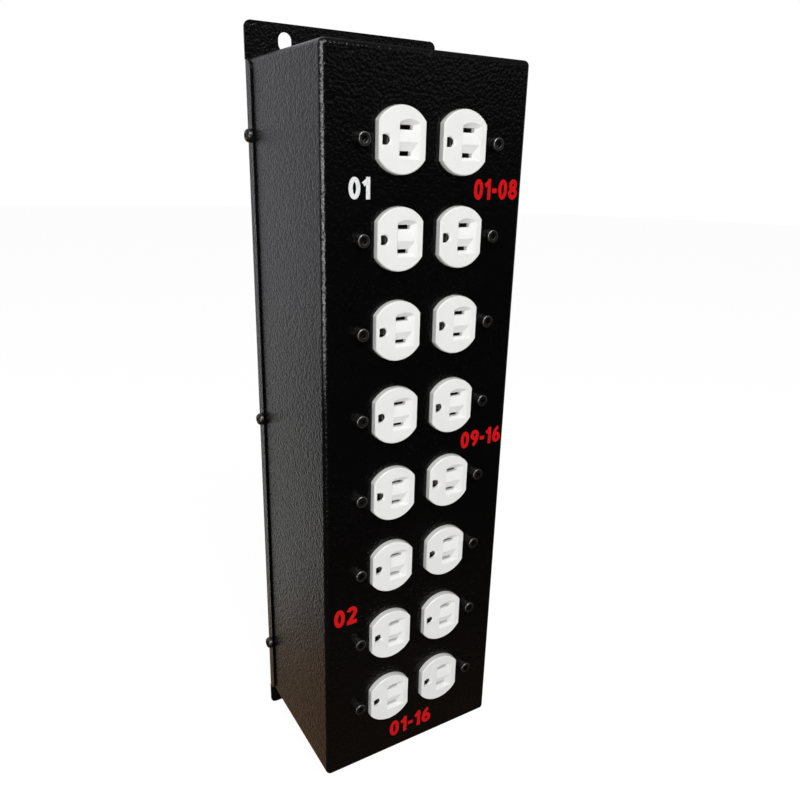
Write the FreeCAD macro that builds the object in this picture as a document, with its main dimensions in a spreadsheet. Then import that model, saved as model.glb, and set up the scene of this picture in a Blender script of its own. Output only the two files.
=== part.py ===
"""Power distribution unit for a rack or a wall: eight duplex receptacles in a folded steel box.

The frame has +X to the right and +Z up, seen from the front, and the outlets face -Y.
The origin lies on the rear face of the back plate, midway between the mounting slots.
"""
import FreeCAD, Part
import Sketcher
import math
import os
import re

# Driving sizes in millimetres. Counts are whole numbers.
SIZES = {
    # Rows of receptacles on the panel
    "row_count": 8,
    "circuit_rows": 4,
    "row_pitch": 49.5,
    "row_margin": 44.0,
    "foot_margin": 47.5,
    # Front cover, a pan of folded sheet
    "cover_depth": 99.0,
    "cover_sheet": 1.2,
    "side_room": 10.3,
    "bend_radius": 3.0,
    "seam_gap": 0.4,
    # Back plate with its tabs, flanges and mounting slots
    "plate_sheet": 1.2,
    "tab_top": 20.0,
    "tab_bottom": 16.0,
    "tab_corner": 4.0,
    "flange_depth": 8.2,
    "flange_setback": 1.3,
    "flange_corner": 5.0,
    "bend_notch": 0.3,
    "slot_width": 8.5,
    "slot_length": 10.5,
    "slot_edge": 4.5,
    "slot_spacing": 80.0,
    # Outlet faces
    "outlet_spacing": 38.9,
    "face_diameter": 33.6,
    "face_flats": 28.0,
    "face_proud": 3.5,
    "face_chamfer": 0.5,
    "face_clear": 0.3,
    "face_flange": 3.0,
    "face_wall": 1.3,
    "slot_wall": 2.8,
    "pin_wall": 1.8,
    # Blade slots and the troughs that lead the blades in
    "blade_spacing": 12.7,
    "blade_slot": 2.4,
    "blade_line": 2.3,
    "neutral_length": 8.7,
    "hot_length": 6.9,
    "trough_depth": 2.0,
    "trough_end": 10.2,
    "trough_high": 8.6,
    "trough_low": 9.2,
    "arch_radius": 12.0,
    "ridge_depth": 0.5,
    "ridge_drop": 0.8,
    # Ground hole
    "pin_hole": 5.0,
    "pin_reach": 11.9,
    "pin_sides": 5,
    # Receptacle base and yoke
    "body_width": 35.0,
    "base_depth": 22.0,
    "base_wall": 2.0,
    "yoke_sheet": 1.5,
    "yoke_width": 20.0,
    "yoke_clear": 0.2,
    "ear_room": 5.95,
    "ear_margin": 10.35,
    # Cap screws that hold the receptacles, and screws through the side flanges
    "screw_spacing": 83.3,
    "screw_thread": 4.0,
    "screw_head": 7.0,
    "screw_head_height": 4.0,
    "screw_length": 8.0,
    "side_inset": 42.0,
    "side_head": 8.0,
    "side_head_height": 3.1,
    "side_head_chamfer": 1.6,
    "side_length": 7.0,
    "thread_clear": 0.4,
    "head_sides": 8,
    "thread_sides": 6,
    # Contacts, bent from brass strip
    "contact_sheet": 0.8,
    "contact_end": 0.6,
    "contact_clear": 0.3,
    "contact_setback": 1.0,
    "blade_gap": 1.2,
    "pin_gap": 3.4,
    "arm_sheet": 0.4,
    "lug_width": 6.0,
    "lug_depth": 6.0,
    "lug_reach": 7.0,
    # Bus bars, feed straps and terminal blocks
    "bus_sheet": 1.2,
    "bus_width": 5.5,
    "line_1_place": 55.5,
    "line_2_place": 47.0,
    "neutral_place": 47.0,
    "feed_height": 14.0,
    "block_depth": 20.0,
    "block_height": 18.0,
    "block_wall": 1.5,
    "pole_width": 7.0,
    "pole_recess": 4.0,
    # Earth tab on the back plate
    "earth_width": 6.3,
    "earth_sheet": 0.8,
    "earth_reach": 12.0,
    "earth_foot": 10.0,
    "earth_place": 22.0,
    # Power inlet in the bottom end
    "inlet_place": 50.0,
    "inlet_width": 33.0,
    "inlet_height": 25.0,
    "inlet_depth": 22.0,
    "inlet_wall": 2.0,
    "inlet_margin": 5.0,
    "inlet_flange": 3.0,
    "inlet_clear": 0.2,
    "prong_width": 8.0,
    "prong_sheet": 2.0,
    "prong_length": 17.0,
    "prong_tail": 9.0,
    "prong_spacing": 13.0,
    "prong_rise": 4.0,
}

# Lengths that follow from the driving sizes.
DERIVED = {
    "yoke_length": "screw_spacing + 2 * ear_margin",
    "cover_width": "yoke_length + 2 * (side_room + cover_sheet)",
    "cover_height": "row_margin + (row_count - 1) * row_pitch + foot_margin",
    "plate_height": "tab_bottom + cover_height + tab_top",
    "plate_half": "cover_width / 2 + plate_sheet",
    "cover_low": "tab_bottom - plate_height / 2",
    "cover_high": "plate_height / 2 - tab_top",
    "flange_low": "cover_low + flange_setback",
    "flange_high": "cover_high - flange_setback",
    "panel_front": "plate_sheet + cover_depth",
    "panel_back": "panel_front - cover_sheet",
    "row_high": "cover_high - row_margin",
    "slot_height": "plate_height / 2 - slot_edge - slot_length / 2",
    "side_screw_depth": "(plate_sheet + flange_depth) / 2",
    "side_screw_pitch": "cover_height / 2 - side_inset",
    "face_front": "cover_sheet + face_proud",
    "hollow_half": "face_flats / 2 - face_wall",
    "hollow_rise": "sqrt((face_diameter / 2 - face_wall) ^ 2 - hollow_half ^ 2)",
    "blade_start": "neutral_length / 2 - blade_line",
    "pin_offset": "pin_reach - blade_line",
    "slot_inner": "(blade_spacing - blade_slot) / 2",
    "slot_outer": "(blade_spacing + blade_slot) / 2",
    "body_half": "screw_spacing / 2 - ear_room - yoke_sheet - yoke_clear",
    "base_back": "face_flange + base_depth",
    "groove_floor": "base_back - base_wall",
    "contact_half": "blade_gap / 2 + contact_sheet",
    "pin_half": "pin_gap / 2 + arm_sheet",
    "contact_reach": "outlet_spacing / 2 - blade_start + neutral_length + contact_end",
    "lug_place": "contact_reach - lug_width / 2",
    "pin_right": "outlet_spacing / 2 - pin_offset + pin_half",
    "contact_mouth": "face_flange + contact_setback",
    "pin_mouth": "contact_setback + pin_wall - face_front",
    "lug_front": "face_flange + lug_depth",
    "bus_front": "lug_front + contact_sheet",
    "bus_back": "panel_back - bus_front - bus_sheet",
    "finger_height": "(body_width + lug_reach) / 2",
    "feed_level": "cover_low + feed_height",
    "pole_floor": "plate_sheet + block_depth - pole_recess",
    "inlet_back": "inlet_depth + inlet_wall",
}

WORD = re.compile(r"\b[a-z][a-z_0-9]*\b")
CUTS = ("PartDesign::Pocket", "PartDesign::SubtractiveLoft")

doc = FreeCAD.newDocument("power_distribution_unit")
sheet = doc.addObject("Spreadsheet::Sheet", "Sizes")
for line, (alias, number) in enumerate(SIZES.items(), start=1):
    sheet.set("A%d" % line, str(number))
    sheet.setAlias("A%d" % line, alias)
doc.recompute()

nodes = []


def formula(text):
    """Write a length in terms of the sheet's cells."""
    def spell(match):
        word = match.group(0)
        if word in DERIVED:
            return "(" + formula(DERIVED[word]) + ")"
        return "Sizes." + word if word in SIZES else word
    return WORD.sub(spell, text)


def value(text):
    return float(sheet.evalExpression(formula(text)))


def bind(thing, name, text):
    thing.setExpression(name, formula(text))


def new_body(label, depth=None, height=None):
    """Start a sub-part. Its own origin may lie forward of the wall and above the middle."""
    body = doc.addObject("PartDesign::Body", label)
    body.Label = label
    if depth:
        bind(body, "Placement.Base.y", "-(%s)" % depth)
    if height:
        bind(body, "Placement.Base.z", height)
    nodes.append(body)
    return body


def datum(body, role):
    return next(item for item in body.Origin.OriginFeatures if item.Role == role)


def sketch_on(body, role, offset="0"):
    """Lay a sketch on a plane of the body's origin, moved off it along its normal."""
    sketch = body.newObject("Sketcher::SketchObject", body.Label + "_sketch")
    sketch.AttachmentSupport = [(datum(body, role), "")]
    sketch.MapMode = "FlatFace"
    bind(sketch, "AttachmentOffset.Base.z", offset)
    return sketch


def pin(sketch, kind, curve, end, text):
    """Hold one coordinate of a curve's point at a place that follows the sheet."""
    index = sketch.addConstraint(Sketcher.Constraint(kind, -1, 1, curve, end, value(text)))
    bind(sketch, "Constraints[%d]" % index, text)


def pin_point(sketch, curve, end, x, y):
    pin(sketch, "DistanceX", curve, end, x)
    pin(sketch, "DistanceY", curve, end, y)


def pin_radius(sketch, curve, radius):
    index = sketch.addConstraint(Sketcher.Constraint("Radius", curve, value(radius)))
    bind(sketch, "Constraints[%d]" % index, radius)


def close(sketch, first, count, kind="Coincident"):
    """Join each of a run of curves to the next, and the last to the first."""
    for index in range(count):
        following = first + (index + 1) % count
        sketch.addConstraint(Sketcher.Constraint(kind, first + index, 2, following, 1))


def point(x, y):
    return FreeCAD.Vector(value(x), value(y), 0)


def add_line(sketch, start, end):
    return sketch.addGeometry(Part.LineSegment(start, end))


def add_arc(sketch, centre, radius, start, end):
    ring = Part.Circle(centre, FreeCAD.Vector(0, 0, 1), radius)
    return sketch.addGeometry(Part.ArcOfCircle(ring, start, end))


def polygon(sketch, corners):
    first = sketch.GeometryCount
    count = len(corners)
    for index in range(count):
        add_line(sketch, point(*corners[index]), point(*corners[(index + 1) % count]))
    close(sketch, first, count)
    for index in range(count):
        pin_point(sketch, first + index, 1, *corners[index])


def rectangle(sketch, left, low, right, high):
    polygon(sketch, [(left, low), (right, low), (right, high), (left, high)])


def facets(sketch, x, y, diameter, sides):
    """A small round outline, drawn with few sides because it repeats often."""
    count = int(SIZES[sides])
    corners = []
    for index in range(count):
        turn = math.tau * index / count
        across = "%s + (%s) / 2 * %.9f" % (x, diameter, math.cos(turn))
        up = "%s + (%s) / 2 * %.9f" % (y, diameter, math.sin(turn))
        corners.append((across, up))
    polygon(sketch, corners)


def double_d(sketch, x, y, diameter, flats):
    """A circle cut off by an upright flat on each side."""
    centre = point(x, y)
    radius = value(diameter) / 2
    turn = math.acos(value(flats) / 2 / radius)
    half = FreeCAD.Vector(value(flats) / 2, 0, 0)
    rise = FreeCAD.Vector(0, radius * math.sin(turn), 0)
    right = add_line(sketch, centre + half - rise, centre + half + rise)
    upper = add_arc(sketch, centre, radius, turn, math.pi - turn)
    left = add_line(sketch, centre - half + rise, centre - half - rise)
    lower = add_arc(sketch, centre, radius, math.pi + turn, math.tau - turn)
    close(sketch, right, 4)
    pin_point(sketch, upper, 3, x, y)
    pin_radius(sketch, upper, "(%s) / 2" % diameter)
    sketch.addConstraint(Sketcher.Constraint("Coincident", upper, 3, lower, 3))
    sketch.addConstraint(Sketcher.Constraint("Equal", upper, lower))
    for line, sign in ((right, "+"), (left, "-")):
        sketch.addConstraint(Sketcher.Constraint("Vertical", line))
        pin(sketch, "DistanceX", line, 1, "%s %s (%s) / 2" % (x, sign, flats))


def obround(sketch, x, y, width, length):
    """An upright slot with round ends."""
    radius = value(width) / 2
    high = "%s + (%s - %s) / 2" % (y, length, width)
    low = "%s - (%s - %s) / 2" % (y, length, width)
    half = FreeCAD.Vector(radius, 0, 0)
    right = add_line(sketch, point(x, low) + half, point(x, high) + half)
    upper = add_arc(sketch, point(x, high), radius, 0, math.pi)
    add_line(sketch, point(x, high) - half, point(x, low) - half)
    lower = add_arc(sketch, point(x, low), radius, math.pi, math.tau)
    close(sketch, right, 4, "Tangent")
    pin_point(sketch, upper, 3, x, high)
    pin_point(sketch, lower, 3, x, low)
    pin_radius(sketch, upper, "%s / 2" % width)
    sketch.addConstraint(Sketcher.Constraint("Equal", upper, lower))


def pin_outline(sketch, x, size):
    """The ground pin's hole: flat on the left, and round on the right, drawn with few sides."""
    radius = "%s / 2" % size
    left = "%s - %s" % (x, radius)
    count = int(SIZES["pin_sides"])
    corners = [(left, radius), (left, "-" + radius)]
    for index in range(count + 1):
        turn = math.pi * (index / count - 0.5)
        across = "%s + %s * %.9f" % (x, radius, math.cos(turn))
        corners.append((across, "%s * %.9f" % (radius, math.sin(turn))))
    polygon(sketch, corners)


def arched(sketch, left, low, right, high, radius):
    """A rectangle whose top edge is a flat arch that stands on the two upper corners."""
    corners = [(left, low), (right, low), (right, high), (left, high)]
    half = (value(right) - value(left)) / 2
    turn = math.acos(half / value(radius))
    centre = point(left, high) + FreeCAD.Vector(half, -value(radius) * math.sin(turn), 0)
    first = add_line(sketch, point(*corners[0]), point(*corners[1]))
    add_line(sketch, point(*corners[1]), point(*corners[2]))
    arch = add_arc(sketch, centre, value(radius), turn, math.pi - turn)
    add_line(sketch, point(*corners[3]), point(*corners[0]))
    close(sketch, first, 4)
    for index, corner in enumerate(corners):
        pin_point(sketch, first + index, 1, *corner)
    pin_radius(sketch, arch, radius)


def pad(body, sketch, length, back=False):
    feature = body.newObject("PartDesign::Pad", body.Label + "_pad")
    feature.Profile = sketch
    feature.Reversed = back
    bind(feature, "Length", length)
    return feature


def pocket(body, sketch, length, forward=False, both_ways=False):
    feature = body.newObject("PartDesign::Pocket", body.Label + "_pocket")
    feature.Profile = sketch
    feature.Reversed = forward
    if both_ways:
        feature.SideType = "Symmetric"
    bind(feature, "Length", length)
    return feature


def edges_where(feature, test):
    """The names of the edges whose two ends and middle all pass the test."""
    names = []
    for number, edge in enumerate(feature.Shape.Edges, start=1):
        middle = edge.valueAt((edge.FirstParameter + edge.LastParameter) / 2)
        spots = [vertex.Point for vertex in edge.Vertexes] + [middle]
        if all(test(spot) for spot in spots):
            names.append("Edge%d" % number)
    return names


def dress(body, kind, base, test, name, size):
    """A fillet or a chamfer on the edges that pass the test."""
    doc.recompute()
    feature = body.newObject("PartDesign::" + kind, body.Label + "_" + kind.lower())
    feature.Base = (base, edges_where(base, test))
    bind(feature, name, size)
    return feature


def near(number, text):
    return abs(number - value(text)) < 0.001


def row_pattern(body, originals, count, pitch):
    """Repeat features, or with none named the whole shape, downwards."""
    doc.recompute()
    pattern = body.newObject("PartDesign::LinearPattern", body.Label + "_rows")
    if originals:
        pattern.Originals = originals
    else:
        pattern.TransformMode = "Whole shape"
    pattern.Direction = (datum(body, "Z_Axis"), [""])
    pattern.Reversed = True
    pattern.Mode = "Spacing"
    bind(pattern, "Offset", pitch)
    bind(pattern, "Occurrences", count)
    body.Tip = pattern


def side_screw_outlines(sketch, diameter, sides):
    """One outline at each of the three screws along a side."""
    middle = "(cover_low + cover_high) / 2"
    for level in (" - side_screw_pitch", "", " + side_screw_pitch"):
        facets(sketch, "-side_screw_depth", middle + level, diameter, sides)


def cut_side_holes(body):
    sketch = sketch_on(body, "YZ_Plane")
    side_screw_outlines(sketch, "screw_thread + thread_clear", "thread_sides")
    pocket(body, sketch, "2 * (plate_half + plate_sheet)", both_ways=True)


def make_front_cover():
    """Pan folded from one sheet, with open seams beside its ends and closed front corners."""
    body = new_body("front_cover")
    outline = sketch_on(body, "XZ_Plane", "plate_sheet")
    rectangle(outline, "-cover_width / 2", "cover_low", "cover_width / 2", "cover_high")
    block = pad(body, outline, "cover_depth")
    bends = dress(body, "Fillet", block, lambda p: near(-p.y, "panel_front"), "Radius", "bend_radius")
    doc.recompute()
    rear = [n for n, face in enumerate(bends.Shape.Faces, start=1)
            if near(-face.CenterOfMass.y, "plate_sheet")]
    shell = body.newObject("PartDesign::Thickness", "front_cover_shell")
    shell.Base = (bends, ["Face%d" % n for n in rear])
    shell.Reversed = True
    bind(shell, "Value", "cover_sheet")

    seams = sketch_on(body, "XZ_Plane", "plate_sheet")
    for side in ("-", ""):
        wall = side + "(cover_width / 2 - cover_sheet)"
        lip = side + "(cover_width / 2 - cover_sheet - seam_gap)"
        for end, inward, outward in (("cover_low", " + ", " - "), ("cover_high", " - ", " + ")):
            rectangle(seams, wall, end + inward + "2 * cover_sheet",
                      lip, end + outward + "cover_sheet")
    pocket(body, seams, "cover_depth - bend_radius", forward=True)

    row = sketch_on(body, "XZ_Plane", "panel_front")
    for side in ("-", ""):
        double_d(row, side + "outlet_spacing / 2", "row_high",
                 "face_diameter + 2 * face_clear", "face_flats + 2 * face_clear")
        facets(row, side + "screw_spacing / 2", "row_high",
               "screw_thread + thread_clear", "thread_sides")
    openings = pocket(body, row, "2 * cover_sheet")
    row_pattern(body, [openings], "row_count", "row_pitch")

    entry = sketch_on(body, "XY_Plane", "cover_low")
    half = "(inlet_width / 2 + inlet_clear)"
    reach = "(inlet_height / 2 + inlet_clear)"
    rectangle(entry, "-" + half, "-inlet_place - " + reach, half, "-inlet_place + " + reach)
    pocket(body, entry, "2 * cover_sheet", forward=True)
    cut_side_holes(body)


def make_back_plate():
    """Flat plate with slotted tabs beyond both ends and a flange folded forward on each side."""
    body = new_body("back_plate")
    outline = sketch_on(body, "XZ_Plane")
    rectangle(outline, "-plate_half", "-plate_height / 2", "plate_half", "plate_height / 2")
    flat = pad(body, outline, "plate_sheet")
    dress(body, "Fillet", flat,
          lambda p: near(abs(p.x), "plate_half") and near(abs(p.z), "plate_height / 2"),
          "Radius", "tab_corner")
    notches = sketch_on(body, "XZ_Plane", "plate_sheet")
    for side in ("-", ""):
        inner = side + "cover_width / 2"
        outer = side + "(plate_half + plate_sheet)"
        rectangle(notches, inner, "flange_low - bend_notch", outer, "flange_low")
        rectangle(notches, inner, "flange_high", outer, "flange_high + bend_notch")
    pocket(body, notches, "2 * plate_sheet")
    for side in ("-", ""):
        strip = sketch_on(body, "YZ_Plane", side + "cover_width / 2")
        rectangle(strip, "-flange_depth", "flange_low", "0", "flange_high")
        flange = pad(body, strip, "plate_sheet", back=side == "-")
    corners = dress(body, "Fillet", flange,
                    lambda p: near(-p.y, "flange_depth")
                    and (near(p.z, "flange_low") or near(p.z, "flange_high")),
                    "Radius", "flange_corner")
    dress(body, "Fillet", corners,
          lambda p: near(abs(p.x), "plate_half") and near(p.y, "0")
          and value("flange_low - bend_notch / 2") < p.z < value("flange_high + bend_notch / 2"),
          "Radius", "plate_sheet")
    slots = sketch_on(body, "XZ_Plane", "plate_sheet")
    for side in ("-", ""):
        for way in ("-", ""):
            obround(slots, side + "slot_spacing / 2", way + "slot_height",
                    "slot_width", "slot_length")
    pocket(body, slots, "2 * plate_sheet")
    cut_side_holes(body)


def cut_outlet(body, side):
    """The two blade slots at the bottom of their lead-in troughs, and the ground hole."""
    centre = side + "outlet_spacing / 2"
    left = centre + " - blade_start"
    end = centre + " + trough_end"
    neutral = centre + " - blade_start + neutral_length"
    hot = centre + " + blade_line"

    mouth = sketch_on(body, "XZ_Plane", "face_front")
    arched(mouth, left, "slot_inner", end, "trough_high", "arch_radius")
    floor = sketch_on(body, "XZ_Plane", "face_front - trough_depth")
    arched(floor, left, "slot_inner", neutral, "slot_outer - blade_slot / 4", "arch_radius")
    upper = body.newObject("PartDesign::SubtractiveLoft", "upper_trough")
    upper.Profile = mouth
    upper.Sections = [floor]
    upper.Ruled = True

    section = sketch_on(body, "YZ_Plane", left)
    deep = "trough_depth - face_front"
    polygon(section, [
        ("-face_front", "slot_inner"), (deep, "slot_inner"),
        ("ridge_depth - face_front", "-ridge_drop"), (deep, "-slot_inner"),
        (deep, "-slot_outer"), ("-face_front", "-trough_low"),
    ])
    pocket(body, section, "blade_start + trough_end", forward=True)

    ramp = sketch_on(body, "XY_Plane", "-trough_low")
    polygon(ramp, [(neutral, deep), (end, deep), (end, "-face_front")])
    pad(body, ramp, "trough_low + slot_inner")

    holes = sketch_on(body, "XZ_Plane", "face_front")
    rectangle(holes, left, "slot_inner", neutral, "slot_outer")
    rectangle(holes, hot + " - hot_length / 2", "-slot_outer", hot + " + hot_length / 2", "-slot_inner")
    pin_outline(holes, centre + " - pin_offset", "pin_hole")
    pocket(body, holes, "face_front + 2 * face_flange")


def make_receptacle_faces():
    """Face mouldings: two hollow, chamfered outlets on a flange that bears on the panel from behind."""
    body = new_body("receptacle_faces", "panel_back", "row_high")
    plate = sketch_on(body, "XZ_Plane")
    rectangle(plate, "-body_half", "-body_width / 2", "body_half", "body_width / 2")
    pad(body, plate, "face_flange", back=True)
    islands = sketch_on(body, "XZ_Plane")
    for side in ("-", ""):
        double_d(islands, side + "outlet_spacing / 2", "0", "face_diameter", "face_flats")
    raised = pad(body, islands, "face_front")
    dress(body, "Chamfer", raised, lambda p: near(-p.y, "face_front"), "Size", "face_chamfer")
    for side in ("-", ""):
        cut_outlet(body, side)
    hollows = sketch_on(body, "XZ_Plane", "-face_flange")
    wells = sketch_on(body, "XZ_Plane", "-face_flange")
    for side in ("-", ""):
        centre = side + "outlet_spacing / 2"
        left = centre + " - hollow_half"
        rectangle(hollows, left, "-hollow_rise", centre + " + hollow_half", "hollow_rise")
        rectangle(wells, left, "-hollow_rise", centre + " - blade_start - face_wall", "hollow_rise")
    pocket(body, hollows, "face_flange + face_front - trough_depth - slot_wall", forward=True)
    pocket(body, wells, "face_flange + face_front - pin_wall", forward=True)
    row_pattern(body, [], "row_count", "row_pitch")


def make_base(label, height):
    """Back moulding with a groove for each contact and a notch for each wiring lug."""
    body = new_body(label, "panel_back", height)
    block = sketch_on(body, "XZ_Plane", "-face_flange")
    rectangle(block, "-body_half", "-body_width / 2", "body_half", "body_width / 2")
    pad(body, block, "base_depth", back=True)
    grooves = sketch_on(body, "XZ_Plane", "-face_flange")
    notches = sketch_on(body, "XZ_Plane", "-face_flange")
    reach = "contact_half + contact_clear"
    for side, way in (("-", ""), ("", "-")):
        middle = way + "blade_spacing / 2"
        rectangle(grooves, "-contact_reach - contact_clear", "%s - (%s)" % (middle, reach),
                  "contact_reach + contact_clear", "%s + (%s)" % (middle, reach))
        lug = side + "lug_place"
        rectangle(notches, lug + " - lug_width / 2 - contact_clear", middle,
                  lug + " + lug_width / 2 + contact_clear", way + "body_width")
    rectangle(grooves, "-body_half", "-pin_half - contact_clear",
              "pin_right + contact_clear", "pin_half + contact_clear")
    pocket(body, grooves, "base_depth - base_wall")
    pocket(body, notches, "lug_depth + contact_sheet + contact_clear")


def make_yoke(label, height):
    """Wrap-round strap: an ear at each end on the panel, two legs, and a strap behind the base."""
    body = new_body(label, "panel_back", height)
    strip = sketch_on(body, "XY_Plane", "-yoke_width / 2")
    leg = "body_half + yoke_clear"
    outside = leg + " + yoke_sheet"
    polygon(strip, [
        ("yoke_length / 2", "0"), ("yoke_length / 2", "yoke_sheet"),
        (outside, "yoke_sheet"), (outside, "base_back + yoke_sheet"),
        ("-(%s)" % outside, "base_back + yoke_sheet"), ("-(%s)" % outside, "yoke_sheet"),
        ("-yoke_length / 2", "yoke_sheet"), ("-yoke_length / 2", "0"),
        ("-(%s)" % leg, "0"), ("-(%s)" % leg, "base_back"),
        (leg, "base_back"), (leg, "0"),
    ])
    pad(body, strip, "yoke_width")
    ears = sketch_on(body, "XZ_Plane")
    for side in ("-", ""):
        facets(ears, side + "screw_spacing / 2", "0",
               "screw_thread + thread_clear", "thread_sides")
    pocket(body, ears, "2 * yoke_sheet")


def channel(body, left, right, half, middle):
    """Spring contact: a U of brass strip, open to the front, lying in its groove."""
    section = sketch_on(body, "YZ_Plane", left)
    web = "groove_floor - contact_sheet"
    gap = "(%s - contact_sheet)" % half
    polygon(section, [
        ("groove_floor", "%s - %s" % (middle, half)), ("groove_floor", "%s + %s" % (middle, half)),
        ("contact_mouth", "%s + %s" % (middle, half)), ("contact_mouth", "%s + %s" % (middle, gap)),
        (web, "%s + %s" % (middle, gap)), (web, "%s - %s" % (middle, gap)),
        ("contact_mouth", "%s - %s" % (middle, gap)), ("contact_mouth", "%s - %s" % (middle, half)),
    ])
    pad(body, section, "%s - (%s)" % (right, left))


def make_blade_contact(label, height, side, way):
    """Contact for one blade of both outlets, with a wiring lug out of the side of the base."""
    body = new_body(label, "panel_back", height)
    middle = way + "blade_spacing / 2"
    channel(body, "-contact_reach", "contact_reach", "contact_half", middle)
    lug = sketch_on(body, "XZ_Plane", "-lug_front")
    place = side + "lug_place"
    rectangle(lug, place + " - lug_width / 2", "%s %s contact_half" % (middle, way or "+"),
              place + " + lug_width / 2", way + "(body_width / 2 + lug_reach)")
    pad(body, lug, "contact_sheet", back=True)


def make_pin_contact(label, height):
    """Ground contact: a strap from the leg of the yoke, with two spring arms at each outlet."""
    body = new_body(label, "panel_back", height)
    strap = sketch_on(body, "XZ_Plane", "-groove_floor")
    rectangle(strap, "-body_half - yoke_clear", "-pin_half", "pin_right", "pin_half")
    pad(body, strap, "contact_sheet")
    arms = sketch_on(body, "XZ_Plane", "-groove_floor")
    for side in ("-", ""):
        centre = side + "outlet_spacing / 2 - pin_offset"
        rectangle(arms, centre + " - pin_half", "-pin_half", centre + " - pin_gap / 2", "pin_half")
        rectangle(arms, centre + " + pin_gap / 2", "-pin_half", centre + " + pin_half", "pin_half")
    pad(body, arms, "groove_floor - pin_mouth")


def make_bus(label, side, way, place, first_row, rows):
    """Comb-shaped bus bar: an upright spine and one finger on each wiring lug."""
    body = new_body(label, "panel_back", "row_high - %s * row_pitch" % first_row)
    spine = sketch_on(body, "XZ_Plane", "-bus_front")
    middle = "%s%s" % (side, place)
    finger = way + "finger_height"
    foot = "feed_level - row_high + %s * row_pitch - bus_width / 2" % first_row
    rectangle(spine, middle + " - bus_width / 2", foot,
              middle + " + bus_width / 2", finger + " + bus_width / 2")
    pad(body, spine, "bus_sheet", back=True)
    arm = sketch_on(body, "XZ_Plane", "-bus_front")
    rectangle(arm, "%s(lug_place - lug_width / 2)" % side, finger + " - bus_width / 2",
              middle, finger + " + bus_width / 2")
    teeth = pad(body, arm, "bus_sheet", back=True)
    row_pattern(body, [teeth], rows, "row_pitch")


def make_feed_strap(label, place):
    """Copper strap from a pole of the terminal block straight forward to the foot of a bus bar."""
    body = new_body(label, "pole_floor", "feed_level")
    section = sketch_on(body, "XZ_Plane")
    rectangle(section, place + " - bus_width / 2", "-bus_sheet / 2",
              place + " + bus_width / 2", "bus_sheet / 2")
    pad(body, section, "bus_back - pole_floor")


def make_terminal_block(label, places):
    """Insulating block on the back plate with a recess for each pole."""
    body = new_body(label, None, "feed_level")
    block = sketch_on(body, "XZ_Plane", "plate_sheet")
    rectangle(block, places[0] + " - pole_width / 2 - block_wall", "-block_height / 2",
              places[-1] + " + pole_width / 2 + block_wall", "block_height / 2")
    pad(body, block, "block_depth")
    poles = sketch_on(body, "XZ_Plane", "plate_sheet + block_depth")
    for place in places:
        rectangle(poles, place + " - pole_width / 2", "block_wall - block_height / 2",
                  place + " + pole_width / 2", "block_height / 2 - block_wall")
    pocket(body, poles, "pole_recess")


def make_panel_screws():
    """Cap screws in two columns, tapped into the ears of the yokes."""
    body = new_body("panel_screws", "panel_front", "row_high")
    heads = sketch_on(body, "XZ_Plane")
    shanks = sketch_on(body, "XZ_Plane")
    for side in ("-", ""):
        facets(heads, side + "screw_spacing / 2", "0", "screw_head", "head_sides")
        facets(shanks, side + "screw_spacing / 2", "0", "screw_thread", "thread_sides")
    pad(body, heads, "screw_head_height")
    pad(body, shanks, "screw_length", back=True)
    row_pattern(body, [], "row_count", "row_pitch")


def make_side_screws():
    """Dome-head screws through the flanges of the back plate into the sides of the cover."""
    body = new_body("side_screws")
    for side in ("-", ""):
        left = side == "-"
        head = sketch_on(body, "YZ_Plane", side + "plate_half")
        side_screw_outlines(head, "side_head", "head_sides")
        pad(body, head, "side_head_height", back=left)
        shank = sketch_on(body, "YZ_Plane", side + "plate_half")
        side_screw_outlines(shank, "screw_thread", "thread_sides")
        shanks = pad(body, shank, "side_length", back=not left)
    dress(body, "Chamfer", shanks, lambda p: near(abs(p.x), "plate_half + side_head_height"),
          "Size", "side_head_chamfer")


def make_earth_tab():
    """Bent push-on tab, welded to the back plate for the earth lead."""
    body = new_body("earth_tab", "plate_sheet", "feed_level")
    section = sketch_on(body, "YZ_Plane", "-earth_place - earth_width / 2")
    polygon(section, [
        ("0", "0"), ("0", "earth_foot"), ("-earth_sheet", "earth_foot"),
        ("-earth_sheet", "earth_sheet"), ("-earth_reach", "earth_sheet"), ("-earth_reach", "0"),
    ])
    pad(body, section, "earth_width")


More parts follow.
